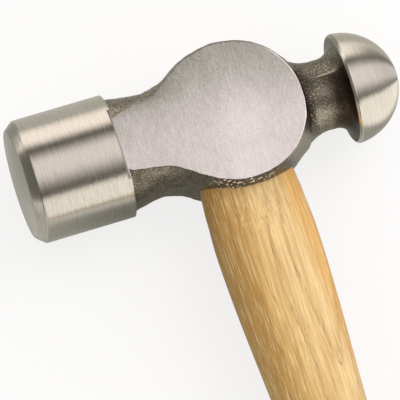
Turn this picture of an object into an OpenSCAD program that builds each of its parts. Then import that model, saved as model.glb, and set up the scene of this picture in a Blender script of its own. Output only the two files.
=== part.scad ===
// Ball peen engineer's hammer: a forged steel head wedged on an ash handle.
// X runs from the striking face to the ball, the handle hangs along -Y, and Z is the thickness.
// The origin is the middle of the striking face, on the head's own axis.

/* [Poll and striking face] */
// Diameter of the turned poll
poll_d = 30; // [24:0.5:36]
// Length of the poll, from the striking face to its sharp rear edge
poll_len = 24.5; // [20:0.5:28]
// Radial depth of the chamfer round the striking face
face_chamfer = 1.8; // [0.8:0.1:2.4]
// Length of that chamfer along the axis
face_chamfer_len = 2.2; // [1:0.1:3]
// Radius of the slight crown of the striking face
face_crown_r = 180; // [120:10:400]

/* [Forged core] */
// Half height of the core at its waist, in the middle of the boss
core_half_y = 10.3; // [8:0.1:12.5]
// Half thickness of the core at its waist, before its cheeks are ground
core_half_z = 14.8; // [13.5:0.1:16]
// Squareness of the core's section at its waist, where 2 is an ellipse
core_square = 3.7; // [2:0.1:4]
// Step from the poll's rear edge down to the root of the core
poll_step = 1.1; // [0.3:0.1:1.5]

/* [Eye boss and cheeks] */
// Distance from the striking face to the middle of the boss
boss_x = 52.7; // [50:0.1:56]
// Half height of the head at the middle of the boss
boss_r = 18; // [16.5:0.1:22]
// Thickness of the head over its two ground cheeks
cheek_t = 24.6; // [20.5:0.1:26]
// How far the grinding of the cheeks bites into the poll's rear rim
rim_bite = 0.8; // [0.3:0.1:1.5]
// Half thickness to which the boss's rounded rim would close if it weren't ground
boss_half_z = 20.6; // [18:0.1:24]
// Squareness of the boss's section, which sets how full its rim is
boss_square = 3; // [2.5:0.1:5]

/* [Eye] */
// Distance of the eye's middle from the boss's middle, towards the striking face
eye_offset = 0.7; // [0:0.1:1.5]
// Length of the eye at its waist, along the head
eye_waist_len = 22; // [18:0.1:27]
// Width of the eye at its waist
eye_waist_w = 15.2; // [11:0.1:16]
// Growth of the eye's length from its waist to the handle side
eye_flare_low = 1.6; // [1:0.2:3]
// Growth of the eye's length from its waist to the top side
eye_flare_top = 3.0; // [1:0.2:3.6]
// Clearance between the eye's wall and the tenon, all round
eye_fit = 0.05; // [0.02:0.01:0.2]

/* [Ball peen] */
// Radius of the ball
ball_r = 13.5; // [11:0.25:15]
// Distance from the boss's rim to the ball's centre
peen_len = 10.2; // [9:0.1:14]
// Radius of the peen neck at its narrowest
peen_neck_r = 8.5; // [6.5:0.1:10]
// Distance from the ball's centre back to the narrowest place of the peen neck
peen_neck_back = 6; // [5:0.25:7]
// Flare of the peen neck where it leaves the boss
peen_flare = 1.5; // [0.5:0.1:2.5]
// Radius of the concave fillet under the ball
peen_fillet = 4; // [3:0.25:5]
// Distance from the ball's centre back to the underside of its rim
rim_edge = 0.2; // [0:0.1:1]
// Radius that rounds the rim
rim_round = 1; // [0.4:0.1:1.5]

/* [Handle] */
// Length over all, from the top of the boss to the butt
overall_len = 330; // [280:1:400]
// Width of the shoulder just below the head, along the head
shoulder_w = 24.8; // [23:0.2:27]
// Thickness of the shoulder
shoulder_t = 18.2; // [16:0.2:20]
// Width of the handle at its waist
waist_w = 20; // [18:0.2:24]
// Thickness of the handle at its waist
waist_t = 15.2; // [13:0.2:18]
// Width of the grip's swell
grip_w = 30; // [26:0.5:34]
// Thickness of the grip's swell
grip_t = 21.6; // [18:0.5:25]
// Radius of the rounded edge round the butt
butt_round = 6; // [3:0.5:8]

/* [Wedges] */
// Depth of the sawn kerf below the boss's top
kerf_depth = 22; // [18:0.5:26]
// Width of the kerf at the top, once the wooden wedge has spread it
kerf_top_w = 4; // [3:0.2:5]
// Width of the kerf at its bottom
kerf_end_w = 1.2; // [0.8:0.1:1.6]
// Distance of each steel wedge from the middle of the eye
steel_wedge_x = 4.8; // [3.6:0.2:6]
// Width of a steel wedge across the eye
steel_wedge_w = 11.4; // [8:0.2:12]
// Thickness of a steel wedge at its head
steel_wedge_t = 2.4; // [1.6:0.2:3]
// Length of a steel wedge
steel_wedge_len = 14; // [10:0.5:16]
// Number of steps down each side of a steel wedge
steel_wedge_steps = 4; // [3:1:5]
// Depth of each of those steps
steel_wedge_barb = 0.15; // [0.05:0.05:0.2]
// Clearance between a wedge and the wood round it
wedge_fit = 0.04; // [0.02:0.01:0.1]
// Depth of the trimmed wood and wedges inside the boss's curve
tenon_trim = 0.4; // [0.2:0.1:1]

/* [Hidden] */
steel = "#a9a7a6";
bright_steel = "#c4c3c1";
ash = "#dcae6a";
beech = "#b98a4e";
turned = 96;           // facets shown on turned surfaces
head_sides = 72;       // points round one section of the forging
wood_sides = 40;       // points round one section of the eye and the handle
union_blend = 4.1;     // how tightly the boss blends into the core
waist_pull = 0.76;     // how soon the core narrows behind the poll, where 1 is steady
square_pull = 0.9;     // how soon its section turns squarish there
web_r = 9.5;           // fullness of the web between the core and the boss
web_in = 1.05;         // distance of the web's thickest place inside the boss
web_spread = 4;        // reach of the web along the head
root_in = 1.3;         // how far the forging runs into the poll
joint_in = 1;          // how far the forging runs into the turned peen
peen_inset = 0.02;     // the forging's end stays this far inside the turned peen
poll_r = poll_d / 2;
cheek_z = cheek_t / 2;
puck_r = pow(pow(boss_r, union_blend) - pow(core_half_y, union_blend), 1 / union_blend);
boss_face_x = boss_x - puck_r;
boss_peen_x = boss_x + puck_r;
ball_x = boss_x + boss_r + peen_len;
peen_neck_x = ball_x - peen_neck_back;
under_x = ball_x - rim_edge;
rim_x = under_x + rim_round;
rim_r = sqrt(ball_r * ball_r - pow(rim_x - ball_x, 2));
eye_x = boss_x - eye_offset;
eye_past = 2;          // how far the eye's cutting shape runs past the boss
eye_side_flare = 0.7;  // growth of the eye's width for each millimetre of its length
eye_square = 2.4;      // squareness of the eye's and the tenon's section
grip_square = 2.15;    // squareness of the shaft's section
butt_y = boss_r - overall_len;
eye_low_y = -boss_r - eye_past;
shoulder_y = eye_low_y - 10;
waist_y = shoulder_y - 62;
grip_y = butt_y + 58;
grip_end_y = butt_y + butt_round;
grip_taper = 0.94;     // share of the grip's size that is left at the butt
wedge_tip_t = 0.8;     // thickness of a steel wedge's tip
wedge_head_h = 1.5;    // height of a steel wedge's head above its first step

// Radius of a superellipse of half axes a and b in the direction whose cosine and sine are given
function oval(c, s, a, b, n) = 1 / pow(pow(abs(c) / a, n) + pow(abs(s) / b, n), 1 / n);
// Smooth union of two radii
function merged(p, q) = pow(pow(p, union_blend) + pow(q, union_blend), 1 / union_blend);
// Share from 0 to 1 with level ends
function eased(t) = let(k = min(1, max(0, t))) k * k * (3 - 2 * k);
function mixed(a, b, t) = a + (b - a) * t;

// The forging's core runs from the poll through the boss to the peen neck. It is squarish and
// narrowest in the middle of the boss, and round at both ends.
function poll_share(x, pull) =
    1 - sin(90 * pow(min(1, max(0, (x - poll_len) / (boss_x - poll_len))), pull));
function peen_share(x) = eased((x - boss_x) / (boss_peen_x - boss_x));
function peen_rise(x) = pow(max(0, peen_neck_x - x) / (peen_neck_x - boss_peen_x), 2);
function peen_r(x) = peen_neck_r + peen_flare * min(1.8, peen_rise(x)) - peen_inset;
function core_half(x, waist, pull) = x < boss_x
    ? mixed(waist, poll_r - poll_step, poll_share(x, pull))
    : mixed(waist, peen_r(x), peen_share(x));
function squareness(x) =
    mixed(core_square, 2, x < boss_x ? poll_share(x, square_pull) : peen_share(x));
// Web that fills the corner between the core and the boss on the poll's side
function web(x) = web_r * exp(-pow((x - boss_face_x - web_in) / web_spread, 2));

// The boss is a round puck about Z with a full rim. Its reach from the head's axis, at a
// station and in a direction, is found by halving the interval in which the surface lies.
function in_boss(x, y, z) =
    pow(norm([x - boss_x, y]) / puck_r, boss_square) + pow(abs(z) / boss_half_z, boss_square) < 1;
function boss_reach(x, c, s, near, far, halvings) =
    let(middle = (near + far) / 2)
    halvings == 0 ? middle
    : in_boss(x, middle * c, middle * s) ? boss_reach(x, c, s, middle, far, halvings - 1)
    : boss_reach(x, c, s, near, middle, halvings - 1);
function core_r(x, c, s) = oval(c, s,
    core_half(x, core_half_y, waist_pull), core_half(x, core_half_z, square_pull), squareness(x));
function forged_r(x, c, s) =
    merged(merged(core_r(x, c, s), web(x)), boss_reach(x, c, s, 0, 2 * boss_half_z, 16));
function forged_ring(x) = [for (i = [0 : head_sides - 1])
    let(c = cos(i * 360 / head_sides), s = sin(i * 360 / head_sides), r = forged_r(x, c, s))
    [x, r * c, r * s]];
forged_stations = concat(
    [for (i = [0 : 7]) mixed(poll_len - root_in, boss_face_x, i / 8)],
    [for (i = [0 : 24]) boss_x - puck_r * cos(i * 7.5)],
    [for (i = [1 : 6]) mixed(boss_peen_x, peen_neck_x, i / 6)],
    [peen_neck_x + joint_in]);

// Half length and half width of the eye at a height y above the head's axis
function eye_open(y) = pow(y / boss_r, 2) / 2 * (y < 0 ? eye_flare_low : eye_flare_top);
function eye_half_x(y, fit) = eye_waist_len / 2 + eye_open(y) - fit;
function eye_half_z(y, fit) = eye_waist_w / 2 + eye_side_flare * eye_open(y) - fit;
function wood_ring(y, hx, hz, n) = [for (i = [0 : wood_sides - 1])
    let(c = cos(i * 360 / wood_sides), s = sin(i * 360 / wood_sides), r = oval(c, s, hx, hz, n))
    [eye_x + r * c, y, r * s]];
function eye_ring(y, fit) = wood_ring(y, eye_half_x(y, fit), eye_half_z(y, fit), eye_square);
eye_stations = [for (i = [5 : -1 : -5]) -eye_low_y * i / 5];

// The shaft's half sizes pass smoothly through its shoulder, waist and grip
function shaft_half(y, mouth, shoulder, waist, grip) =
    y > shoulder_y ? mixed(mouth, shoulder, eased((eye_low_y - y) / (eye_low_y - shoulder_y)))
    : y > waist_y ? mixed(shoulder, waist, eased((shoulder_y - y) / (shoulder_y - waist_y)))
    : y > grip_y ? mixed(waist, grip, eased((waist_y - y) / (waist_y - grip_y)))
    : mixed(grip, grip * grip_taper, eased((grip_y - y) / (grip_y - grip_end_y)));
function shaft_ring(y) = wood_ring(y,
    shaft_half(y, eye_half_x(eye_low_y, eye_fit), shoulder_w / 2, waist_w / 2, grip_w / 2),
    shaft_half(y, eye_half_z(eye_low_y, eye_fit), shoulder_t / 2, waist_t / 2, grip_t / 2),
    mixed(eye_square, grip_square, eased((eye_low_y - y) / (eye_low_y - shoulder_y))));
shaft_stations = concat(
    [for (i = [1 : 5]) mixed(eye_low_y, shoulder_y, i / 5)],
    [for (i = [1 : 10]) mixed(shoulder_y, waist_y, i / 10)],
    [for (i = [1 : 12]) mixed(waist_y, grip_y, i / 12)],
    [for (i = [1 : 6]) mixed(grip_y, grip_end_y, i / 6)]);
// Rounded edge of the butt, as rings that close in along a quarter circle
function butt_ring(a) =
    let(inset = butt_round * (1 - cos(a)), y = grip_end_y - butt_round * sin(a))
    wood_ring(y, grip_w / 2 * grip_taper - inset, grip_t / 2 * grip_taper - inset, grip_square);

// Solid through a list of rings with the same number of points, closed by flat ends.
// Each ring turns right-handed about the direction in which the list runs.
module loft(rings) {
    n = len(rings[0]);
    last = len(rings) - 1;
    sides = [for (j = [0 : last - 1], i = [0 : n - 1])
        let(k = (i + 1) % n, a = j * n + i, b = j * n + k, c = a + n, d = b + n)
        each [[a, c, b], [b, c, d]]];
    near_end = [[for (i = [0 : n - 1]) i]];
    far_end = [[for (i = [n - 1 : -1 : 0]) last * n + i]];
    polyhedron(points = [for (r = rings) each r], faces = concat(sides, near_end, far_end));
}

// Solid turned about the head's axis, from a profile of radius against distance along +X
module turned_solid(profile) {
    rotate([0, 90, 0]) rotate_extrude($fn = turned) polygon(profile);
}

// Turned poll with its chamfer and slightly crowned face
module poll() {
    face_r = poll_r - face_chamfer;
    function crown(r) = face_crown_r - sqrt(face_crown_r * face_crown_r - r * r);
    turned_solid(concat(
        [for (i = [0 : 6]) [face_r * i / 6, crown(face_r * i / 6)]],
        [[poll_r, crown(face_r) + face_chamfer_len], [poll_r, poll_len], [0, poll_len]]));
}

// Neck, boss and peen neck as they leave the die
module forging() {
    loft([for (x = forged_stations) forged_ring(x)]);
}

// Turned end of the peen neck: the concave fillet under the ball, then the ball's rounded rim.
// The fillet is held to what fits between the neck and the rim.
module peen_root() {
    fillet = min(peen_fillet, rim_r - rim_round - peen_neck_r);
    turned_solid(concat(
        [[0, peen_neck_x], [peen_neck_r, peen_neck_x]],
        [for (a = [0 : 10 : 80])
            [peen_neck_r + fillet * (1 - cos(a)), under_x - fillet * (1 - sin(a))]],
        [for (a = [0 : 18 : 90])
            [rim_r - rim_round * (1 - sin(a)), rim_x - rim_round * cos(a)]],
        [[0, rim_x]]));
}

// Ball, cut off at the end of its rounded rim
module ball() {
    intersection() {
        translate([ball_x, 0, 0]) rotate([0, 90, 0]) sphere(r = ball_r, $fn = turned);
        translate([rim_x, -2 * ball_r, -2 * ball_r]) cube(4 * ball_r);
    }
}

// Hourglass of the eye, also the envelope of the tenon when a fit is taken off
module eye_space(fit) {
    loft([for (y = eye_stations) eye_ring(y, fit)]);
}

// What is ground off one cheek, from just inside the poll's rim to the peen neck
module cheek_grind(side) {
    start_x = poll_len - rim_bite;
    translate([start_x, -poll_d, side > 0 ? cheek_z : -cheek_z - poll_d])
        cube([peen_neck_x + joint_in - start_x, 2 * poll_d, poll_d]);
}

module hammer_head() {
    color(steel) difference() {
        union() {
            poll();
            forging();
            peen_root();
            ball();
        }
        cheek_grind(1);
        cheek_grind(-1);
        eye_space(0);
    }
}

// What is sawn and ground off above the boss's curve once the wedges are in
module above_trim() {
    difference() {
        translate([boss_x - boss_r, 0, -cheek_z]) cube([2 * boss_r, 2 * boss_r, cheek_t]);
        translate([boss_x, 0, -cheek_t])
            cylinder(r = boss_r - tenon_trim, h = 2 * cheek_t, $fn = turned);
    }
}

// Tapered slot along the eye, grown by a fit all round
module kerf(fit) {
    top_y = boss_r + eye_past + 1;
    end_y = boss_r - kerf_depth;
    top_half = mixed(kerf_end_w, kerf_top_w, (top_y - end_y) / kerf_depth) / 2;
    translate([eye_x - boss_r, 0, 0]) rotate([90, 0, 90]) linear_extrude(height = 2 * boss_r)
        polygon([[end_y - fit, -kerf_end_w / 2 - fit], [top_y, -top_half - fit],
                 [top_y, top_half + fit], [end_y - fit, kerf_end_w / 2 + fit]]);
}

// Stepped steel wedge at a distance x along the head, grown by a fit all round
module steel_wedge(x, fit) {
    top_y = boss_r + eye_past;
    half = [for (i = [0 : steel_wedge_steps])
        mixed(steel_wedge_t, wedge_tip_t, i / steel_wedge_steps) / 2 + fit];
    step_y = [for (i = [0 : steel_wedge_steps])
        mixed(boss_r - wedge_head_h, boss_r - steel_wedge_len, i / steel_wedge_steps) - fit];
    right = [for (i = [0 : steel_wedge_steps - 1])
        each [[half[i], step_y[i]], [half[i] - steel_wedge_barb, step_y[i]],
              [half[i + 1], step_y[i + 1]]]];
    left = [for (i = [len(right) - 1 : -1 : 0]) [-right[i][0], right[i][1]]];
    translate([x, 0, -steel_wedge_w / 2 - fit]) linear_extrude(height = steel_wedge_w + 2 * fit)
        polygon(concat([[half[0], top_y]], right, left, [[-half[0], top_y]]));
}

module handle() {
    rings = concat(
        [for (y = eye_stations) eye_ring(y, eye_fit)],
        [for (y = shaft_stations) shaft_ring(y)],
        [for (a = [15 : 15 : 75]) butt_ring(a)]);
    color(ash) difference() {
        loft(rings);
        above_trim();
        kerf(0);
        steel_wedge(eye_x - steel_wedge_x, wedge_fit);
        steel_wedge(eye_x + steel_wedge_x, wedge_fit);
    }
}

module wooden_wedge() {
    color(beech) difference() {
        intersection() {
            eye_space(eye_fit);
            kerf(-wedge_fit);
        }
        above_trim();
        steel_wedge(eye_x - steel_wedge_x, wedge_fit);
        steel_wedge(eye_x + steel_wedge_x, wedge_fit);
    }
}

module steel_wedge_face_side() {
    color(bright_steel) difference() {
        steel_wedge(eye_x - steel_wedge_x, 0);
        above_trim();
    }
}

module steel_wedge_peen_side() {
    color(bright_steel) difference() {
        steel_wedge(eye_x + steel_wedge_x, 0);
        above_trim();
    }
}

hammer_head();
handle();
wooden_wedge();
steel_wedge_face_side();
steel_wedge_peen_side();
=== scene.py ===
import math

import bmesh
import bpy
import numpy as np
from mathutils import Matrix, Vector, noise


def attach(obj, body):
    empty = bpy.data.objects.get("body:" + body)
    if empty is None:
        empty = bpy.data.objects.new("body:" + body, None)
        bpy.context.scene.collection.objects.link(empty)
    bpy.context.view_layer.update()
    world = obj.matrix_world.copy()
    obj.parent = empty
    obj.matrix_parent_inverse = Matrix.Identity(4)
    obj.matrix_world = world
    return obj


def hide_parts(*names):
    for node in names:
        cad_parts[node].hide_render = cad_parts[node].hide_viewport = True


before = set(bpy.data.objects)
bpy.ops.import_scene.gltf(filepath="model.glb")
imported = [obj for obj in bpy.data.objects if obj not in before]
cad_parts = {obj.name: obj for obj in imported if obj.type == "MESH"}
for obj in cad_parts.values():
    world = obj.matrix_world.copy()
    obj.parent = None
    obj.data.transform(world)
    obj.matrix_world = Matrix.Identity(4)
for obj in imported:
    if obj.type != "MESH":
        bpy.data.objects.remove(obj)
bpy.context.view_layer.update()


# Camera. It looks down on the upper cheek from 1.2 metres, a little from the poll's side and
# from below the handle, with the long lens of a catalogue photograph.
MM = 0.001
boss_x = 52.7
camera_back, camera_aside, camera_down = 1200.0, -7.0966, -18.3286
picture_px, px_per_mm = 400.0, 4.2183
camera_roll, camera_swing, camera_tip = 0.2899, 0.1524, -0.2023
camera_turn = (
    Matrix.Rotation(camera_roll, 3, "Z")
    @ Matrix.Rotation(camera_swing, 3, "Y")
    @ Matrix.Rotation(camera_tip, 3, "X")
)
camera_data = bpy.data.cameras.new("catalogue_camera")
camera_data.sensor_width = 36.0
camera_data.lens = camera_data.sensor_width * px_per_mm * camera_back / picture_px
camera_data.clip_start = 0.05
camera_data.clip_end = 50.0
camera = bpy.data.objects.new("catalogue_camera", camera_data)
camera_place = camera_turn.transposed() @ Vector((camera_aside, camera_down, camera_back))
camera.matrix_world = (
    Matrix.Translation((camera_place + Vector((boss_x, 0.0, 0.0))) * MM)
    @ camera_turn.transposed().to_4x4()
)
bpy.context.scene.collection.objects.link(camera)
bpy.context.scene.camera = camera


# Studio. The hammer lies on a plain pale floor under soft boxes, one low on each side of the head,
# one overhead and one beyond the ball. A striped dome and a grey sheet show in reflections only.
class Wire:
    """A socket of a node tree. Sums written with it add Math nodes to that tree."""

    def __init__(self, tree, socket):
        self.tree = tree
        self.socket = socket

    def math(self, operation, *terms, clamp=False):
        """A Math node in this wire's tree, of all the terms that are given."""
        node = self.tree.nodes.new("ShaderNodeMath")
        node.operation = operation
        node.use_clamp = clamp
        for slot, term in zip(node.inputs, terms):
            feed(self.tree, slot, term)
        return Wire(self.tree, node.outputs[0])

    def __add__(self, other):
        return self.math("ADD", self, other)

    def __radd__(self, other):
        return self.math("ADD", other, self)

    def __sub__(self, other):
        return self.math("SUBTRACT", self, other)

    def __rsub__(self, other):
        return self.math("SUBTRACT", other, self)

    def __mul__(self, other):
        return self.math("MULTIPLY", self, other)

    def __rmul__(self, other):
        return self.math("MULTIPLY", other, self)

    def __truediv__(self, other):
        return self.math("DIVIDE", self, other)

    def __rtruediv__(self, other):
        return self.math("DIVIDE", other, self)

    def __pow__(self, other):
        return self.math("POWER", self, other)

    def __abs__(self):
        return self.math("ABSOLUTE", self)

    def held(self):
        """The value kept between 0 and 1."""
        return self.math("ADD", self, 0.0, clamp=True)


def feed(tree, slot, value):
    """Links a wire to a socket, or sets the socket's own value."""
    if isinstance(value, Wire):
        tree.links.new(value.socket, slot)
    else:
        slot.default_value = value


class Bench:
    """A node tree that is being built."""

    def __init__(self, tree):
        self.tree = tree

    def node(self, kind, settings=(), sockets=(), take=0):
        """A node of any kind: its settings first, then its sockets' values or links. It gives one
        output, a list of them where take is a tuple, or the node itself where take is None."""
        made = self.tree.nodes.new(kind)
        for name, value in dict(settings).items():
            setattr(made, name, value)
        for name, value in dict(sockets).items():
            feed(self.tree, made.inputs[name], value)
        if take is None:
            return made
        if isinstance(take, tuple):
            return [Wire(self.tree, made.outputs[name]) for name in take]
        return Wire(self.tree, made.outputs[take])

    def eased(self, value, start, end, low=0.0, high=1.0):
        """Passes smoothly from low at start to high at end."""
        return self.node(
            "ShaderNodeMapRange",
            {"interpolation_type": "SMOOTHSTEP"},
            {"Value": value, "From Min": start, "From Max": end, "To Min": low, "To Max": high},
        )


class Finish(Bench):
    """A material for one finish, with its Principled shader and its output."""

    def __init__(self, name, **constants):
        self.material = bpy.data.materials.new(name)
        self.material.use_nodes = True
        super().__init__(self.material.node_tree)
        self.tree.nodes.clear()
        self.shader = self.node("ShaderNodeBsdfPrincipled", take=None)
        self.output = self.node("ShaderNodeOutputMaterial", take=None)
        self.tree.links.new(self.shader.outputs[0], self.output.inputs[0])
        self.give(**constants)

    def place(self):
        """The object's own coordinates in millimetres, as x, y and z."""
        metres = self.node("ShaderNodeTexCoord", take="Object")
        parts = self.node("ShaderNodeSeparateXYZ", sockets={0: metres}, take=("X", "Y", "Z"))
        return [part * (1.0 / MM) for part in parts]

    def cloud(self, x, y, z, detail=2.0, roughness=0.5):
        """Smooth noise from 0 to 1 about 0.5, on coordinates that are already stretched."""
        vector = self.node("ShaderNodeCombineXYZ", sockets={0: x, 1: y, 2: z})
        return self.node(
            "ShaderNodeTexNoise",
            {"noise_dimensions": "3D"},
            {"Vector": vector, "Scale": 1.0, "Detail": detail, "Roughness": roughness},
        )

    def mixed(self, share, first, second):
        """Mix of two colours."""
        return self.node(
            "ShaderNodeMix",
            {"data_type": "RGBA"},
            {0: share, 6: colour(first), 7: colour(second)},
            take=2,
        )

    def give(self, **sockets):
        """Feeds the shader's sockets."""
        for name, value in sockets.items():
            feed(self.tree, self.shader.inputs[name.replace("_", " ")], colour(value))

    def relief(self, height, depth):
        """Bump of a height from 0 to 1 over a depth in millimetres."""
        bump = self.node("ShaderNodeBump", sockets={"Distance": depth * MM, "Height": height})
        self.give(Normal=bump)


def colour(value):
    """A colour with its alpha. Anything else passes as it is."""
    return (*value, 1.0) if isinstance(value, tuple) and len(value) == 3 else value


def seen_rays(bench):
    """1 for rays from the camera, from gloss or through glass, and 0 for all others."""
    camera_ray, glossy_ray, clear_ray = bench.node(
        "ShaderNodeLightPath", take=("Is Camera Ray", "Is Glossy Ray", "Is Transmission Ray")
    )
    return (camera_ray + glossy_ray + clear_ray).held()


def plain_object(name, verts, faces, materials=()):
    """A mesh object at the origin, from points in millimetres."""
    mesh = bpy.data.meshes.new(name)
    mesh.from_pydata([tuple(float(c) * MM for c in v) for v in verts], [], faces)
    for material in materials:
        mesh.materials.append(material)
    made = bpy.data.objects.new(name, mesh)
    bpy.context.scene.collection.objects.link(made)
    return made


def ring_quads(bands, count, first=0):
    """Quads between neighbouring rings of count points each, band after band."""
    return [
        (start + k, start + (k + 1) % count, start + count + (k + 1) % count, start + count + k)
        for start in range(first, first + bands * count, count)
        for k in range(count)
    ]


black, white = (0.0, 0.0, 0.0), (1.0, 1.0, 1.0)
floor_level, floor_half, floor_fades = -15.0, 6000.0, (320.0, 420.0)
floor_finish = Finish(
    "pale_floor", Base_Color=(0.97, 0.97, 0.965), Roughness=0.9, Specular_IOR_Level=0.1
)
x, y, _ = floor_finish.place()
floor_far = floor_finish.eased((x * x + y * y) ** 0.5, *floor_fades)
floor_glow = floor_finish.node(
    "ShaderNodeEmission", sockets={"Color": colour(white), "Strength": 1.0}
)
floor_mix = floor_finish.node(
    "ShaderNodeMixShader",
    sockets={
        0: seen_rays(floor_finish) * (0.78 + 0.22 * floor_far),
        1: Wire(floor_finish.tree, floor_finish.shader.outputs[0]),
        2: floor_glow,
    },
)
floor_finish.tree.links.new(floor_mix.socket, floor_finish.output.inputs[0])
floor = plain_object(
    "floor",
    [(floor_half * x_side, floor_half * y_side, floor_level)
     for x_side, y_side in ((-1, -1), (1, -1), (1, 1), (-1, 1))],
    [(0, 1, 2, 3)],
    [floor_finish.material],
)

world = bpy.data.worlds.new("white_room")
world.use_nodes = True
world.node_tree.nodes.clear()
bpy.context.scene.world = world
room = Bench(world.node_tree)
room_light = room.node(
    "ShaderNodeBackground",
    sockets={"Color": colour(white), "Strength": 0.35 + 0.65 * seen_rays(room)},
)
room.node("ShaderNodeOutputWorld", sockets={0: room_light}, take=None)

lamps_x = 45.0


def soft_box(name, start, end, distance, length, radiance, tint, aside=0.0):
    """Long lamp along the head between two angles from straight up towards +Y about its axis, and
    swung aside towards the ball. The dome shows in its place."""
    width = 2 * distance * math.tan(math.radians((end - start) / 2))
    data = bpy.data.lights.new(name, "AREA")
    data.shape = "RECTANGLE"
    data.size = length * MM
    data.size_y = width * MM
    data.energy = radiance * math.pi * length * width * MM * MM
    data.color = tint
    lamp = bpy.data.objects.new(name, data)
    lamp.matrix_world = (
        Matrix.Translation((lamps_x * MM, 0.0, 0.0))
        @ Matrix.Rotation(math.radians(-(start + end) / 2), 4, "X")
        @ Matrix.Rotation(math.radians(aside), 4, "Y")
        @ Matrix.Translation((0.0, 0.0, distance * MM))
    )
    lamp.visible_camera = False
    lamp.visible_glossy = False
    bpy.context.scene.collection.objects.link(lamp)


soft_box("soft_box_top_side", 48.0, 91.5, 380.0, 700.0, 1.05, (1.0, 0.9, 0.76))
soft_box("soft_box_handle_side", -88.0, -54.0, 380.0, 700.0, 1.05, (1.0, 0.9, 0.76))
soft_box("soft_box_overhead", -20.0, 28.0, 300.0, 600.0, 0.8, (1.0, 0.93, 0.93))
soft_box("fill_ball_side", 0.0, 40.0, 700.0, 500.0, 2.1, (1.0, 0.98, 0.95), aside=38.0)


def glowing(name):
    """A black cloth that gives light of the colour that is fed to it."""
    return Finish(
        name, Base_Color=black, Roughness=1.0, Specular_IOR_Level=0.0, Emission_Strength=1.6
    )


def reflected(name, verts, faces, finish):
    """A card that only shows in reflections."""
    card = plain_object(name, verts, faces, [finish.material])
    card.visible_camera = False
    card.visible_diffuse = False
    card.visible_shadow = False


# The direction from the head to the camera, and the angle at which it stands about the head's axis
to_camera, to_camera_roll = (-0.152, -0.199, 0.968), 11.6


def striped_light(cloth, centre):
    """Light laid out by the slope of steel that would reflect it from a centre to the camera: its
    roll about the head's axis, in degrees from the camera, and its lean towards the ball."""
    x, y, z = (part - middle for part, middle in zip(cloth.place(), centre))
    out = (x * x + y * y + z * z) ** 0.5
    half_x, half_y, half_z = (part / out + to for part, to in zip((x, y, z), to_camera))
    roll = half_y.math("ARCTAN2", half_y, half_z) * math.degrees(1.0) + to_camera_roll
    lean = half_x / (half_x * half_x + half_y * half_y + half_z * half_z) ** 0.5
    on_ball = cloth.eased(lean, 0.0, 0.15)
    low_roll = roll - 4.0 * on_ball
    up_roll = roll - 8.0 * cloth.eased(lean, 0.55, 0.95)
    top_lit = cloth.eased(up_roll, 26.5, 36.0) * cloth.eased(roll, 43.0, 58.0, 1.0, 0.0)
    top_lit = top_lit * cloth.eased(lean, 0.1, 0.65, 1.0, 0.1)
    low_lit = cloth.eased(lean, -0.3, -0.05, 0.12, 1.0) + cloth.eased(lean, -0.5, -0.6, 0.0, 0.55)
    low_lit = cloth.eased(low_roll, -21.5, -17.0, 1.0, 0.0) * low_lit
    over_lit = cloth.eased(low_roll, -17.0, 5.0 - 7.0 * on_ball)
    over_lit = over_lit * cloth.eased(up_roll, 13.0, 27.0, 1.0, 0.0)
    over_lit = over_lit * cloth.eased(lean, -0.38, -0.12) * cloth.eased(lean, 0.3, 0.9, 1.0, 0.7)
    gap = cloth.mixed(cloth.eased(lean, -0.5, -0.2), (0.12, 0.115, 0.095), (0.06, 0.058, 0.045))
    gap = cloth.mixed(on_ball, gap, (0.15, 0.142, 0.118))
    light = cloth.mixed(cloth.eased(roll, 36.0, 48.0), gap, (0.40, 0.38, 0.32))
    light = cloth.mixed(over_lit, light, (0.74, 0.68, 0.65))
    light = cloth.mixed(low_lit, light, (0.87, 0.81, 0.72))
    return cloth.mixed(top_lit, light, (0.98, 0.88, 0.79))


dome_r, dome_x, dome_bands, dome_sides, dome_lift = 900.0, 50.0, 12, 48, 1.52
sheet_level = -14.9
dome_rings = [
    [(dome_x + dome_r * math.cos(lift) * math.cos(turn), dome_r * math.cos(lift) * math.sin(turn),
      sheet_level + dome_r * math.sin(lift))
     for turn in np.linspace(0.0, 2 * np.pi, dome_sides, endpoint=False)]
    for lift in np.linspace(0.0, dome_lift, dome_bands + 1)
]
dome_top = tuple(range(dome_sides * dome_bands, dome_sides * (dome_bands + 1)))
dome_cloth = glowing("dome_cloth")
dome_cloth.give(Emission_Color=striped_light(dome_cloth, (dome_x, 0.0, 0.0)))
reflected(
    "reflection_dome",
    [point for ring in dome_rings for point in ring],
    ring_quads(dome_bands, dome_sides) + [dome_top],
    dome_cloth,
)

# Under the dome a grey sheet with the head's shadow painted on it: darker close to the head and
# between poll and handle. In front of the face it is lit evenly, and past the ball it carries the
# stripes on.
sheet_cloth = glowing("sheet_cloth")
x, y, _ = sheet_cloth.place()
# Painted shadow: the sheet darkens towards the head, and more between poll and handle
sheet_light = sheet_cloth.eased(y, -130.0, -25.0, 0.48, 0.28)
sheet_light = sheet_light + sheet_cloth.eased(y, 0.0, 25.0, 0.0, 0.12)
sheet_shade = sheet_cloth.eased(x, 4.0, 28.0) * sheet_cloth.eased(x, 62.0, 78.0, 1.0, 0.0)
sheet_shade = sheet_shade * sheet_cloth.eased(y, -110.0, -50.0) * sheet_cloth.eased(y, 5.0, -5.0)
sheet_light = sheet_light * (1.0 - 0.45 * sheet_shade)
at_face = sheet_cloth.eased(x, 2.0, -5.0) * sheet_cloth.eased(x, -60.0, -30.0)
face_light = sheet_cloth.eased(y, -14.0, 6.0, 0.39, 0.26)
sheet_light = sheet_light * (1.0 - at_face) + face_light * at_face
sheet_cloth.give(Emission_Color=sheet_cloth.mixed(
    sheet_cloth.eased(x, 97.0, 112.0),
    sheet_cloth.mixed(sheet_light, black, (1.0, 0.965, 0.85)),
    striped_light(sheet_cloth, (88.0, -2.0, 6.0)),
))
reflected("grey_sheet", dome_rings[0], [tuple(range(dome_sides))], sheet_cloth)


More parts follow.
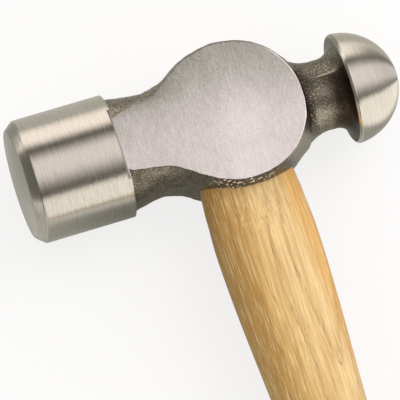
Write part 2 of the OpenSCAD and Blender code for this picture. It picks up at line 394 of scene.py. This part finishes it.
# Hammer head. One steel forging: the poll and the ball are turned bright, the two cheeks are
# ground flat, and the necks between them keep the rough dark skin of the blasted forging.
poll_r, poll_len = 15.0, 24.5
face_r, face_crown_r, chamfer_len = 13.2, 180.0, 2.2
cheek_z, grind_x = 12.3, 23.7
core_y, core_z, core_square, core_root = 10.3, 14.8, 3.7, 13.9
core_y_pull, core_z_pull = 0.76, 0.9
web_reach, web_set_in, web_spread = 9.5, 1.05, 4.0
blend = 4.1
boss_r, boss_half_z = 18.0, 20.6
puck_r = (boss_r**blend - core_y**blend) ** (1 / blend)
boss_peen_x = boss_x + puck_r
ball_r, ball_x = 13.5, 80.9
neck_r, neck_x, neck_flare = 8.5, 74.9, 1.5
under_x, rim_round = 80.7, 1.0
rim_x = under_x + rim_round
rim_r = math.sqrt(ball_r**2 - (rim_x - ball_x) ** 2)
neck_fillet = min(4.0, rim_r - rim_round - neck_r)
skin_waves = ((0.16, 0.21), (0.10, 0.62), (0.055, 1.7))


def smooth_step(t):
    t = np.clip(t, 0.0, 1.0)
    return t * t * (3.0 - 2.0 * t)


def oval(c, s, a, b, n):
    """Radius of a superellipse in the direction whose cosine and sine are given."""
    return 1.0 / ((np.abs(c) / a) ** n + (np.abs(s) / b) ** n) ** (1.0 / n)


def core_size(x, waist, pull):
    """Half size and squareness of the core, which is narrowest in the middle of the boss."""
    back = np.clip((x - poll_len) / (boss_x - poll_len), 0.0, 1.0)
    poll_share = 1.0 - np.sin(np.pi / 2 * back**pull)
    peen_share = smooth_step((x - boss_x) / puck_r)
    rise = (np.maximum(0.0, neck_x - x) / (neck_x - boss_peen_x)) ** 2
    neck = neck_r + neck_flare * np.minimum(1.8, rise)
    share = np.where(x < boss_x, poll_share, peen_share)
    end = np.where(x < boss_x, core_root, neck)
    return waist + (end - waist) * share, core_square + (2.0 - core_square) * share


def forged_radius(x, angle):
    """Reach of the forging from the head's axis: the core merged with the round boss."""
    c, s = np.cos(angle), np.sin(angle)
    half_y, _ = core_size(x, core_y, core_y_pull)
    half_z, square = core_size(x, core_z, core_z_pull)
    core = oval(c, s, half_y, half_z, square)
    web = web_reach * np.exp(-(((x - boss_x + puck_r - web_set_in) / web_spread) ** 2))
    near, far = np.zeros_like(core), np.full_like(core, 2.0 * boss_half_z)
    for _ in range(26):
        middle = (near + far) / 2
        across = np.hypot(x - boss_x, middle * c) / puck_r
        inside = across**3 + (np.abs(middle * s) / boss_half_z) ** 3 < 1.0
        near, far = np.where(inside, middle, near), np.where(inside, far, middle)
    return (core**blend + web**blend + near**blend) ** (1.0 / blend)


def forging_skin(x, angle, radius):
    """Uneven skin of the forging, in millimetres, at each point of the surface."""
    points = np.stack([x, radius * np.cos(angle), radius * np.sin(angle)], -1)
    return np.array([
        sum(height * noise.noise(Vector(point) * pace) for height, pace in skin_waves)
        for point in points
    ])


def skinned_radius(x, angle):
    radius = forged_radius(x, angle)
    kept = smooth_step((x - poll_len) / 0.6)
    return radius + kept * forging_skin(x, angle, radius)


# The turned poll from the middle of its crowned face back to its sharp rear edge
face_edge_x = face_crown_r - math.sqrt(face_crown_r**2 - face_r**2)
chamfer_x, chamfer_slope = face_edge_x + chamfer_len, (poll_r - face_r) / chamfer_len
poll = [(face_crown_r - math.sqrt(face_crown_r**2 - r * r), r)
        for r in (0.8, 2.0, 3.6, 5.4, 7.2, 9.0, 10.6, 11.8, 12.6, 13.02)]
poll += [(face_edge_x + 0.03, face_r - 0.06), (face_edge_x + 0.14, face_r + 0.06)]
poll += [(face_edge_x + back, face_r + back * chamfer_slope) for back in (0.4, 1.1)]
poll += [(chamfer_x - 0.5, poll_r - 0.5 * chamfer_slope)]
poll += [(chamfer_x + back, poll_r - down)
         for back, down in ((-0.18, 0.14), (-0.02, 0.045), (0.16, 0.01))]
poll += [(x, poll_r) for x in (chamfer_x + 0.5, 6.0, 10.0, 14.0, 18.0, 21.0, 23.2, grind_x - 0.01)]
poll_back = [(grind_x + 0.01, poll_r)]
poll_back += [(poll_len - left, poll_r - down)
              for left, down in ((0.3, 0.0), (0.12, 0.015), (0.04, 0.06), (0.005, 0.15))]

# The forging, with close stations where the boss closes and where the cheeks end, then the ball
forged_x = np.concatenate([
    [poll_len + 0.02, poll_len + 0.12, poll_len + 0.3, poll_len + 0.6],
    np.linspace(poll_len + 1.0, boss_x - puck_r - 0.15, 27),
    boss_x - puck_r * np.cos(np.radians(np.linspace(0.0, 180.0, 145))),
    np.linspace(boss_peen_x + 0.15, neck_x - 0.3, 14),
])
fillet = [(under_x - neck_fillet * (1 - math.sin(a)), neck_r + neck_fillet * (1 - math.cos(a)))
          for a in np.radians(np.linspace(0.0, 84.0, 13))]
neck_run = [(x, neck_r) for x in np.linspace(neck_x, fillet[0][0] - 0.25, 3)]
rim = [(rim_x - rim_round * math.cos(a), rim_r - rim_round * (1 - math.sin(a)))
       for a in np.radians(np.linspace(0.0, 90.0, 8))]
ball_start = math.degrees(math.asin((rim_x - ball_x) / ball_r))
ball = [(ball_x + ball_r * math.sin(a), ball_r * math.cos(a))
        for a in np.radians(np.linspace(ball_start + 1.2, 88.4, 44))]

# The points of each station lie closest where its surface leaves the ground cheeks, at a corner in
# each quarter. On the peen's side the cheeks close, and the corners go back to an even place.
side_steps, flat_steps, lip = 30, 14, math.radians(0.32)
quarter, widest_corner, closed_corner, neck_corner = np.radians([90.0, 83.0, 86.0, 50.0])
TURNED, GROUND, FORGED = 0, 1, 2
forged_rims = 3


def crossing(x, radius_at):
    """Angles, one in each quarter, at which a station's surface leaves the ground cheek."""
    found = []
    for turn, start in ((1, 0.0), (-1, math.pi), (1, math.pi), (-1, 2 * math.pi)):
        low, high = 0.05, quarter
        for _ in range(18):
            middle = (low + high) / 2
            reach = float(radius_at(np.array([x]), np.array([start + turn * middle]))[0])
            low, high = (middle, high) if reach * math.sin(middle) < cheek_z else (low, middle)
        found.append((low + high) / 2)
    return found


def columns(corners):
    """Angles of one station's points, with two close lines on each side of every corner."""
    quarters = []
    for corner in corners:
        side = np.linspace(0.0, corner - 3 * lip, side_steps + 1)
        flat = np.linspace(corner + 3 * lip, quarter, flat_steps + 1)
        quarters.append(np.concatenate([side, [corner - lip, corner + lip], flat]))
    first, second, third, fourth = quarters
    return np.concatenate([
        first,
        (math.pi - second[::-1])[1:],
        (math.pi + third)[1:],
        (2 * math.pi - fourth[::-1])[1:-1],
    ])


def ground_off(angle, radius):
    """Radius that is left after the grinding of both cheeks."""
    return np.minimum(radius, cheek_z / np.maximum(np.abs(np.sin(angle)), 1e-6))


def head_rings():
    """Every station of the head as a ring of points: x, angles, radii and finish."""
    rings = []

    def add_ring(x, corners, finish, radius_at):
        angle = columns(corners)
        stations = np.full_like(angle, x)
        rings.append((stations, angle, radius_at(stations, angle), finish))

    for x, r in poll:
        add_ring(x, [math.asin(cheek_z / poll_r)] * 4, TURNED, lambda s, a: np.full_like(a, r))
    for x, r in poll_back:
        add_ring(x, [math.asin(cheek_z / r)] * 4, TURNED,
                 lambda s, a: ground_off(a, np.full_like(a, r)))
    ended = None
    for x in forged_x:
        corners = crossing(x, skinned_radius)
        if ended is None and x > boss_x and min(corners) > closed_corner:
            ended = x
        if ended is not None:
            back = float(smooth_step((x - ended) / (neck_x - ended)))
            corners = [widest_corner + (neck_corner - widest_corner) * back] * 4
        corners = [min(corner, widest_corner) for corner in corners]
        add_ring(x, corners, FORGED, lambda s, a: ground_off(a, skinned_radius(s, a)))
    for x, r in neck_run + fillet:
        kept = 1.0 - smooth_step((r - neck_r) / 3.6)
        add_ring(x, [neck_corner] * 4, FORGED,
                 lambda s, a: r + kept * forging_skin(s, a, np.full_like(a, r)))
    for finish, turning_rings in ((FORGED, rim[:forged_rims]), (TURNED, rim[forged_rims:] + ball)):
        for x, r in turning_rings:
            add_ring(x, [neck_corner] * 4, finish, lambda s, a: np.full_like(a, r))
    return rings


def build_head(materials):
    """The closed mesh of the head. Each band has the finish of the ring that ends it."""
    rings = head_rings()
    count = len(rings[0][1])
    verts = [(0.0, 0.0, 0.0)]
    for x, angle, radius, _ in rings:
        verts.extend(zip(x, radius * np.cos(angle), radius * np.sin(angle)))
    verts.append((ball_x + ball_r, 0.0, 0.0))
    tip = len(verts) - 1
    faces = [(0, 1 + (k + 1) % count, 1 + k) for k in range(count)]
    finishes = [TURNED] * count
    for i, quad in enumerate(ring_quads(len(rings) - 1, count, first=1)):
        heights = [abs(verts[p][2]) for p in quad]
        level = cheek_z - 0.002 < min(heights) and max(heights) < cheek_z + 0.002
        faces.append(quad)
        on_cheek = level and verts[quad[0]][0] > grind_x
        finishes.append(GROUND if on_cheek else rings[i // count + 1][3])
    faces += [(tip - count + k, tip - count + (k + 1) % count, tip) for k in range(count)]
    finishes += [TURNED] * count
    made = plain_object("forged_head", verts, faces, materials)
    made.data.polygons.foreach_set("material_index", finishes)
    return made


def settle(target):
    """Makes what an object's modifiers give its own plain mesh."""
    result = bpy.data.meshes.new_from_object(
        target.evaluated_get(bpy.context.evaluated_depsgraph_get())
    )
    target.modifiers.clear()
    old, target.data = target.data, result
    result.name = target.name
    bpy.data.meshes.remove(old)


def cut(target, cutter):
    """Takes a closed cutter out of a mesh and throws the cutter away."""
    modifier = target.modifiers.new("cut", "BOOLEAN")
    modifier.operation = "DIFFERENCE"
    modifier.solver = "EXACT"
    modifier.object = cutter
    settle(target)
    bpy.data.objects.remove(cutter)


def shade(target, sharp_over=34.0):
    """Smooth faces, with the edges that turn by more than an angle in degrees left sharp."""
    work = bmesh.new()
    work.from_mesh(target.data)
    bmesh.ops.remove_doubles(work, verts=work.verts, dist=1e-7)
    for face in work.faces:
        face.smooth = True
    for edge in work.edges:
        sharp = len(edge.link_faces) != 2 or edge.calc_face_angle(0.0) > math.radians(sharp_over)
        edge.smooth = not sharp
    work.to_mesh(target.data)
    work.free()


def loft(name, rings, materials):
    """Closed solid through rings with the same number of points."""
    count, last = len(rings[0]), len(rings) - 1
    faces = ring_quads(last, count)
    faces.append(tuple(range(count - 1, -1, -1)))
    faces.append(tuple(range(last * count, (last + 1) * count)))
    made = plain_object(name, [point for ring in rings for point in ring], faces, materials)
    work = bmesh.new()
    work.from_mesh(made.data)
    bmesh.ops.recalc_face_normals(work, faces=work.faces)
    work.to_mesh(made.data)
    work.free()
    return made


# The eye: an hourglass that opens towards the handle and, more, towards the top
eye_x, eye_half_len, eye_half_w, eye_square = 52.0, 11.0, 7.6, 2.4
eye_opens_low, eye_opens_top, eye_widens, eye_reach_y = 1.6, 3.0, 0.7, 20.0


def eye_ring(y, count=96):
    opened = (y / boss_r) ** 2 / 2 * (eye_opens_low if y < 0 else eye_opens_top)
    turns = np.linspace(0.0, 2 * np.pi, count, endpoint=False)
    half_len, half_w = eye_half_len + opened, eye_half_w + eye_widens * opened
    reaches = oval(np.cos(turns), np.sin(turns), half_len, half_w, eye_square)
    return [(eye_x + r * math.cos(turn), y, r * math.sin(turn)) for r, turn in zip(reaches, turns)]


# Turned steel: bright rings left by the lathe, with a few flecks of scale. The ball's edge has a
# painted highlight, with painted shade along its top.
turned_steel = Finish("turned_steel", Metallic=1.0)
x, y, z = turned_steel.place()
fine = turned_steel.cloud(x * 2.6, y * 0.14, z * 0.14, detail=3.0, roughness=0.6)
broad = turned_steel.cloud(x * 0.6, y * 0.05, z * 0.05, detail=2.0)
strokes = turned_steel.cloud(x * 7.0, y * 0.5, z * 0.5, detail=2.0, roughness=0.6)
fleck = turned_steel.cloud(x * 1.9, y * 1.9, z * 1.9, detail=3.0, roughness=0.65)
near_neck = turned_steel.eased(x, 19.0, 24.6) * turned_steel.eased(x, 25.0, 25.2, 1.0, 0.0)
flecked = turned_steel.eased(fleck, 0.70, 0.76) * (0.12 + 0.6 * near_neck)
bright = turned_steel.mixed(fine, (0.46, 0.445, 0.415), (0.68, 0.66, 0.62))
# Painted highlight on the ball's edge, and painted shade on the top of that edge
painted_ball_rim = turned_steel.eased(x, rim_x - 0.15, rim_x + 0.1, 1.0, 0.0)
painted_ball_rim = turned_steel.eased(x, 70.0, 75.0) * painted_ball_rim
shaded_rim_top = turned_steel.eased(y, 4.0, 8.0)
bright = turned_steel.mixed(painted_ball_rim * (0.5 - 0.5 * shaded_rim_top), bright, (0.98, 0.95, 0.90))
bright = turned_steel.mixed(painted_ball_rim * shaded_rim_top * 0.7, bright, (0.22, 0.21, 0.18))
turned_steel.give(
    Base_Color=turned_steel.mixed(flecked, bright, (0.14, 0.13, 0.10)),
    Roughness=0.13 + 0.05 * fine + 0.04 * broad,
)
turned_steel.relief(fine * 0.3 + strokes * 0.7, 0.05)

# Ground steel: the belt's marks run down the cheek, in line with the handle. Painted shade darkens
# the top of the cheek, its ends and its upper corner by the poll. A painted highlight lies along
# the arris by the peen, and a dark line runs by the poll.
ground_steel = Finish("ground_steel", Metallic=1.0)
x, y, z = ground_steel.place()
marks = ground_steel.cloud(x * 2.2, y * 0.45, z * 0.2, detail=3.0, roughness=0.65)
patches = ground_steel.cloud(x * 0.12, y * 0.08, z * 0.1, detail=2.0)
grain = ground_steel.cloud(x * 3.0, y * 2.2, z, detail=2.0, roughness=0.65)
# Painted shade: the cheek darkens towards its top, its ends and its upper corner by the poll
painted_cheek_shading = ground_steel.eased(y, -6.0, 19.0, 0.90, 0.16)
painted_cheek_shading = painted_cheek_shading - 0.17 * ground_steel.eased(abs(x - 53.0), 0.0, 15.0)
painted_cheek_shading = painted_cheek_shading - ground_steel.eased(x, 46.0, 33.0) * ground_steel.eased(y, 5.0, 9.0, 0.06, 0.31)
ground = ground_steel.mixed(
    painted_cheek_shading + 0.7 * (marks - 0.5) + 0.7 * (grain - 0.5) + 0.3 * (patches - 0.5),
    (0.30, 0.31, 0.275),
    (0.83, 0.795, 0.815),
)
from_boss = ((x - boss_x) * (x - boss_x) + y * y) ** 0.5
# Painted highlight along the cheek's edge by the peen
painted_arris_highlight = ground_steel.eased(from_boss, 16.55, 16.8) * ground_steel.eased(x, 62.0, 67.0)
ground = ground_steel.mixed(painted_arris_highlight * 0.8, ground, (1.0, 0.98, 0.98))
by_poll = ground_steel.eased(x, 24.45, 24.1)
ground_steel.give(
    Base_Color=ground_steel.mixed(by_poll * 0.7, ground, (0.13, 0.12, 0.10)),
    Roughness=0.32 + 0.1 * marks,
)
ground_steel.relief(marks * 0.5 + grain * 0.5, 0.02)

# Forged steel: the dark skin that is left by the die and the blasting. Painted shade darkens the
# top of the peen's neck, and painted light brightens that neck low down and the side of the boss
# next to the handle.
forged_steel = Finish("forged_steel")
x, y, z = forged_steel.place()
pits = forged_steel.cloud(x * 2.3, y * 2.3, z * 2.3, detail=2.0, roughness=0.6)
blasted = forged_steel.cloud(x * 3.1, y * 3.1, z * 3.1, detail=1.0)
blotch = forged_steel.cloud(x * 0.35, y * 0.35, z * 0.35, detail=3.0)
blotch = forged_steel.eased(blotch, 0.2, 0.8)
sparks = forged_steel.eased(blasted, 0.62, 0.70)
holes = forged_steel.eased(pits, 0.46, 0.33)
skin = forged_steel.mixed(blotch, (0.15, 0.137, 0.104), (0.285, 0.262, 0.21))
# Painted shade on top of the peen's neck
painted_shade_neck_top = forged_steel.eased(x, 67.0, 70.0) * forged_steel.eased(y, -8.0, 2.0)
skin = forged_steel.mixed(painted_shade_neck_top * 0.42, skin, (0.06, 0.05, 0.036))
# Painted light low on the peen's neck and on the boss's side next to the handle, where the low lamp
# falls
painted_light_neck_low = forged_steel.eased(y, -3.0, -6.5) * forged_steel.eased(x, 69.5, 72.0)
painted_light_neck_low = painted_light_neck_low * forged_steel.eased(x, 77.0, 75.0)
skin = forged_steel.mixed(painted_light_neck_low * 0.4, skin, (0.42, 0.39, 0.31))
painted_light_boss_low = forged_steel.eased(y, -8.0, -11.0) * forged_steel.eased(x, 58.0, 62.0)
painted_light_boss_low = painted_light_boss_low * forged_steel.eased(x, 75.0, 70.0)
skin = forged_steel.mixed(painted_light_boss_low * 0.6, skin, (0.54, 0.53, 0.48))
# Scale is left below the boss, where the blasting didn't reach. Under the ball and beside the boss
# the skin is darkened with painted shade.
corner = forged_steel.eased(x, 74.8, 77.8) * forged_steel.eased(y, 3.4, 2.6)
# Painted shade beside the boss
painted_shade_beside_boss = forged_steel.eased(x, 72.6, 71.0) * forged_steel.eased(x, 62.0, 67.0)
painted_shade_beside_boss = painted_shade_beside_boss * forged_steel.eased(abs(y + 1.0), 10.0, 6.0)
below = forged_steel.eased(y, -13.5, -16.5) * forged_steel.eased(x, 38.0, 44.0)
scale_and_shade = forged_steel.mixed(below * 0.9, skin, (0.105, 0.115, 0.125))
scale_and_shade = forged_steel.mixed((corner * 0.8 + painted_shade_beside_boss * 0.75).held(), scale_and_shade, (0.05, 0.036, 0.026))
pitted = forged_steel.mixed(holes * 0.75, scale_and_shade, (0.035, 0.03, 0.024))
# Bare steel shines at the blasted points and in chips on the strip of scale, and a bright line runs
# along the peen's neck
neck_line = forged_steel.eased(abs(y - 3.0), 0.2, 0.08) * forged_steel.eased(x, 73.6, 75.0)
neck_line = neck_line * forged_steel.eased(x, 80.0, 78.6)
sparks = sparks * (0.75 - 0.6 * corner)
sparkled = forged_steel.mixed((sparks + neck_line * 0.5).held(), pitted, (0.72, 0.70, 0.63))
chips = forged_steel.cloud(x * 1.4, y * 1.4, z * 1.4, detail=0.0)
chips = below * forged_steel.eased(chips, 0.64, 0.67) * forged_steel.eased(x, 60.0, 54.0)
forged_steel.give(
    Base_Color=forged_steel.mixed(chips * 0.85, sparkled, (0.92, 0.90, 0.84)),
    Roughness=0.36 - 0.08 * sparks,
    Metallic=0.93 - 0.85 * chips,
)
forged_steel.relief(pits * 0.6 + blasted * 0.4, 0.09)

head_finishes = [turned_steel.material, ground_steel.material, forged_steel.material]
head = build_head(head_finishes)
eye_levels = np.linspace(eye_reach_y, -eye_reach_y, 41)
eye_cutter = loft("eye_cutter", [eye_ring(level) for level in eye_levels], head_finishes)
eye_faces = eye_cutter.data.polygons
eye_faces.foreach_set("material_index", [FORGED] * len(eye_faces))
cut(head, eye_cutter)
shade(head)
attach(head, "root")
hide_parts("hammer_head")


# Handle. One stick of straight-grained ash, turned oval on a copying lathe and varnished. Its
# tenon fills the eye, is sawn down the middle for the wedge and trimmed to the head's curve.
ash = Finish("varnished_ash", Coat_Weight=0.15, Coat_Roughness=0.3)
x, y, z = ash.place()
wander = ash.cloud(x * 0.05, y * 0.01, z * 0.05, detail=2.0)
ring_width, pith_x = 1.7, 30.0 - 0.04 * y
from_pith = ((x - pith_x) ** 2.0 + (z + 40.0) ** 2.0) ** 0.5 + 9.0 * wander
years = from_pith / ring_width
early = ash.eased(years.math("FRACT", years), 0.0, 0.4, 1.0, 0.0)
zone = ash.eased(ash.cloud(x * 0.16, y * 0.012, z * 0.16, detail=2.0), 0.36, 0.62)
fibre = ash.cloud(x * 1.5, y * 0.03, z * 1.5, detail=3.0, roughness=0.65)
thread = ash.cloud(x * 3.8, y * 0.07, z * 3.8, detail=2.0, roughness=0.6)
pore = ash.cloud(x * 4.5, y * 0.3, z * 4.5, detail=1.0)
pores = ash.eased(pore, 0.58, 0.68) * (0.2 + 0.8 * early)
sap_x = x + 0.04 * y + 8.0 * (wander - 0.5)
golden = ash.mixed(zone, (0.66, 0.37, 0.10), (0.84, 0.54, 0.185))
# Painted shade: the handle is darker on its side towards the poll
painted_shade_poll_side = ash.mixed(ash.eased(sap_x, 47.0, 38.0) * 0.85, golden, (0.43, 0.235, 0.055))
pale = ash.mixed(ash.eased(sap_x, 44.0, 57.0) * (0.5 + 0.5 * zone), painted_shade_poll_side, (0.96, 0.70, 0.345))
amber = ash.mixed(ash.eased(sap_x, 58.0, 62.0) * 0.8, pale, (0.87, 0.47, 0.115))
banded = ash.mixed(early * 0.4, amber, (0.50, 0.26, 0.065))
darker = ash.mixed(0.36, banded, (0.38, 0.185, 0.04))
fibrous = ash.mixed(ash.eased(fibre, 0.38, 0.62), darker, banded)
threaded = ash.mixed(ash.eased(thread, 0.53, 0.66) * 0.55, fibrous, (1.0, 0.86, 0.43))
ash.give(
    Base_Color=ash.mixed(pores * 0.6, threaded, (0.27, 0.13, 0.045)),
    Roughness=0.42 + 0.2 * pores,
)
ash.relief(thread * 0.4 - pores * 0.6, 0.05)

turning = bpy.data.node_groups.new("turned_oval_handle", "GeometryNodeTree")
turning.interface.new_socket("Geometry", in_out="OUTPUT", socket_type="NodeSocketGeometry")
handle_sizes = {
    "Eye Middle": eye_x, "Eye Low": -20.0, "Shoulder": -30.0, "Waist": -92.0, "Grip": -254.0,
    "Grip End": -306.0, "Butt Round": 6.0, "Grip Taper": 0.94,
    "Shoulder Half Width": 12.4, "Waist Half Width": 10.0, "Grip Half Width": 15.0,
    "Shoulder Half Thickness": 9.1, "Waist Half Thickness": 7.6, "Grip Half Thickness": 10.8,
}
handle_inputs = {
    name: turning.interface.new_socket(name, in_out="INPUT", socket_type="NodeSocketFloat")
    for name in handle_sizes
}
tenon_gap, shoulder_square = 0.05, 2.15
wood = Bench(turning)
size = dict(zip(handle_sizes, wood.node("NodeGroupInput", take=tuple(handle_sizes))))
# A flat grid is wrapped round the handle: one way is round it, and the other along it, as a disc
# that closes the top, the shaft, the rounded edge of the butt and a disc that closes the butt
disc_end, shaft_end, edge_end = 0.02, 0.93, 0.965
stick = wood.node(
    "GeometryNodeMeshGrid",
    sockets={"Size X": 1.0, "Size Y": 1.0, "Vertices X": 121, "Vertices Y": 301},
    take="Mesh",
)
spot = wood.node("GeometryNodeInputPosition")
grid_x, grid_y = wood.node("ShaderNodeSeparateXYZ", sockets={0: spot}, take=("X", "Y"))
turn, along = (grid_x + 0.5) * (2 * math.pi), grid_y + 0.5


def stretch(start, end, low=0.0, high=1.0):
    """Goes evenly from low to high between two places along the grid."""
    return wood.node(
        "ShaderNodeMapRange",
        sockets={"Value": along, "From Min": start, "From Max": end, "To Min": low, "To Max": high},
    )


top_disc, shaft = stretch(0.0, disc_end), stretch(disc_end, shaft_end)
butt_disc = stretch(edge_end, 1.0, 1.0, 0.0)
edge_angle = stretch(shaft_end, edge_end) * (math.pi / 2)
inset = size["Butt Round"] * (1.0 - edge_angle.math("COSINE", edge_angle))
station = (
    -1.0 * size["Eye Low"]
    + (size["Grip End"] + size["Eye Low"]) * shaft
    - size["Butt Round"] * edge_angle.math("SINE", edge_angle)
)
in_eye = station.math("MAXIMUM", station, size["Eye Low"])
top_side = in_eye.math("GREATER_THAN", in_eye, 0.0)
opens = eye_opens_low + (eye_opens_top - eye_opens_low) * top_side
opened = (in_eye / boss_r) ** 2.0 / 2.0 * opens


def shaft_half(mouth, kind):
    """Half size of the shaft as it passes through shoulder, waist and grip."""
    places = ("Shoulder", "Waist", "Grip")
    shoulder, waist, grip = (size[f"{place} Half {kind}"] for place in places)
    return (
        mouth
        + (shoulder - mouth) * wood.eased(station, size["Eye Low"], size["Shoulder"])
        + (waist - shoulder) * wood.eased(station, size["Shoulder"], size["Waist"])
        + (grip - waist) * wood.eased(station, size["Waist"], size["Grip"])
        - grip * (1.0 - size["Grip Taper"]) * wood.eased(station, size["Grip"], size["Grip End"])
        - inset
    )


half_w = shaft_half(eye_half_len - tenon_gap + opened, "Width")
half_t = shaft_half(eye_half_w - tenon_gap + eye_widens * opened, "Thickness")
square = wood.eased(station, size["Eye Low"], size["Shoulder"], eye_square, shoulder_square)
across = turn.math("COSINE", turn)
upward = turn.math("SINE", turn)
reach = 1.0 / (abs(across / half_w) ** square + abs(upward / half_t) ** square) ** (1.0 / square)
spread = reach * top_disc * butt_disc
surface = wood.node(
    "ShaderNodeCombineXYZ",
    sockets={
        0: (size["Eye Middle"] + spread * across) * MM,
        1: station * MM,
        2: spread * upward * MM,
    },
)
placed = wood.node("GeometryNodeSetPosition", sockets={"Geometry": stick, "Position": surface})
closed = wood.node("GeometryNodeMergeByDistance", sockets={"Geometry": placed, "Distance": 2e-6})
real = wood.node("GeometryNodeRealizeInstances", sockets={"Geometry": closed})
painted = wood.node("GeometryNodeSetMaterial", sockets={"Geometry": real, "Material": ash.material})
wood.node("NodeGroupOutput", sockets={0: painted}, take=None)

handle = plain_object("ash_handle", [(0, 0, 0)], [])
turned = handle.modifiers.new("turned", "NODES")
turned.node_group = turning
for name, value in handle_sizes.items():
    turned[handle_inputs[name].identifier] = value
settle(handle)


def saw(name, outline, half, place):
    """Takes a prism out of the handle: an outline that reaches to a half length on both sides, and
    a function that puts its points in place."""
    ends = [[place(u, v, w) for u, v in outline] for w in (-half, half)]
    cut(handle, loft(name, ends, [ash.material]))


# What is trimmed off above the head's curve, then the kerf and the steel wedges' slots
trim_r, trim_half, trim_top, trim_half_z = 17.6, 18.5, 36.0, 12.6
trim_outline = [(boss_x + trim_r * math.cos(a), trim_r * math.sin(a))
                for a in np.linspace(0.0, math.pi, 97)]
trim_outline += [(boss_x - trim_half, 0.0), (boss_x - trim_half, trim_top),
                 (boss_x + trim_half, trim_top), (boss_x + trim_half, 0.0)]
saw("trim", trim_outline, trim_half_z, lambda u, v, w: (u, v, w))
kerf_low_w, kerf_top_w, kerf_depth, kerf_past, kerf_half_len = 1.2, 4.0, 22.0, 3.0, 18.5
kerf_low_y, kerf_top_y = boss_r - kerf_depth, boss_r + kerf_past
kerf_spread = (kerf_top_w - kerf_low_w) * (kerf_top_y - kerf_low_y) / kerf_depth
kerf_low, kerf_top = kerf_low_w / 2, (kerf_low_w + kerf_spread) / 2
kerf_outline = [(kerf_low_y, -kerf_low), (kerf_top_y, -kerf_top),
                (kerf_top_y, kerf_top), (kerf_low_y, kerf_low)]
saw("kerf", kerf_outline, kerf_half_len, lambda u, v, w: (eye_x + w, u, v))
wedge_t, wedge_tip, wedge_len, wedge_head, wedge_steps, wedge_barb = 2.4, 0.8, 14.0, 1.5, 4, 0.15
slot_gap, slot_half, slot_top, slot_aside = 0.04, 5.74, 20.0, 4.8
slot_side = [(wedge_t / 2 + slot_gap, slot_top)]
for step in range(wedge_steps):
    (upper, upper_y), (lower, lower_y) = (
        ((wedge_t + (wedge_tip - wedge_t) * i / wedge_steps) / 2 + slot_gap,
         boss_r - wedge_head - (wedge_len - wedge_head) * i / wedge_steps - slot_gap)
        for i in (step, step + 1)
    )
    slot_side += [(upper, upper_y), (upper - wedge_barb, upper_y), (lower, lower_y)]
slot_outline = slot_side + [(-u, v) for u, v in slot_side[::-1]]
for aside in (-slot_aside, slot_aside):
    saw("slot", slot_outline, slot_half, lambda u, v, w: (eye_x + aside + u, v, w))
shade(handle)
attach(handle, "root")
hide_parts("handle")


# Wooden wedge. A thin tapered slip of beech, glued and driven into the kerf across the eye,
# then sawn and sanded off with the end of the tenon.
def repaint(name, finish):
    """Gives a CAD node a finish in place of its own."""
    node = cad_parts[name]
    node.data.materials.clear()
    node.data.materials.append(finish.material)


beech = Finish("bare_beech", Roughness=0.7)
x, y, z = beech.place()
rays = beech.cloud(x * 0.9, y * 0.25, z * 4.0, detail=3.0, roughness=0.6)
flecks = beech.cloud(x * 3.0, y * 0.6, z * 6.0, detail=2.0)
beech.give(Base_Color=beech.mixed(
    beech.eased(flecks, 0.5, 0.75) * 0.5,
    beech.mixed(rays, (0.40, 0.21, 0.09), (0.62, 0.38, 0.19)),
    (0.28, 0.13, 0.055),
))
beech.relief(rays, 0.05)
repaint("wooden_wedge", beech)


# Steel wedges. Two small stepped wedges, stamped from mild steel and driven across the wooden
# one, so that their steps grip the wood.
wedge_steel = Finish("stamped_steel", Metallic=1.0)
x, y, z = wedge_steel.place()
scratches = wedge_steel.cloud(x * 3.0, y * 3.0, z * 0.3, detail=3.0, roughness=0.6)
dull = wedge_steel.cloud(x * 0.7, y * 0.7, z * 0.7, detail=2.0)
wedge_steel.give(
    Base_Color=wedge_steel.mixed(scratches, (0.30, 0.29, 0.27), (0.58, 0.57, 0.55)),
    Roughness=0.35 + 0.2 * dull,
)
wedge_steel.relief(scratches, 0.03)
for name in ("steel_wedge_face_side", "steel_wedge_peen_side"):
    repaint(name, wedge_steel)


bpy.context.scene.view_settings.view_transform = "Standard"
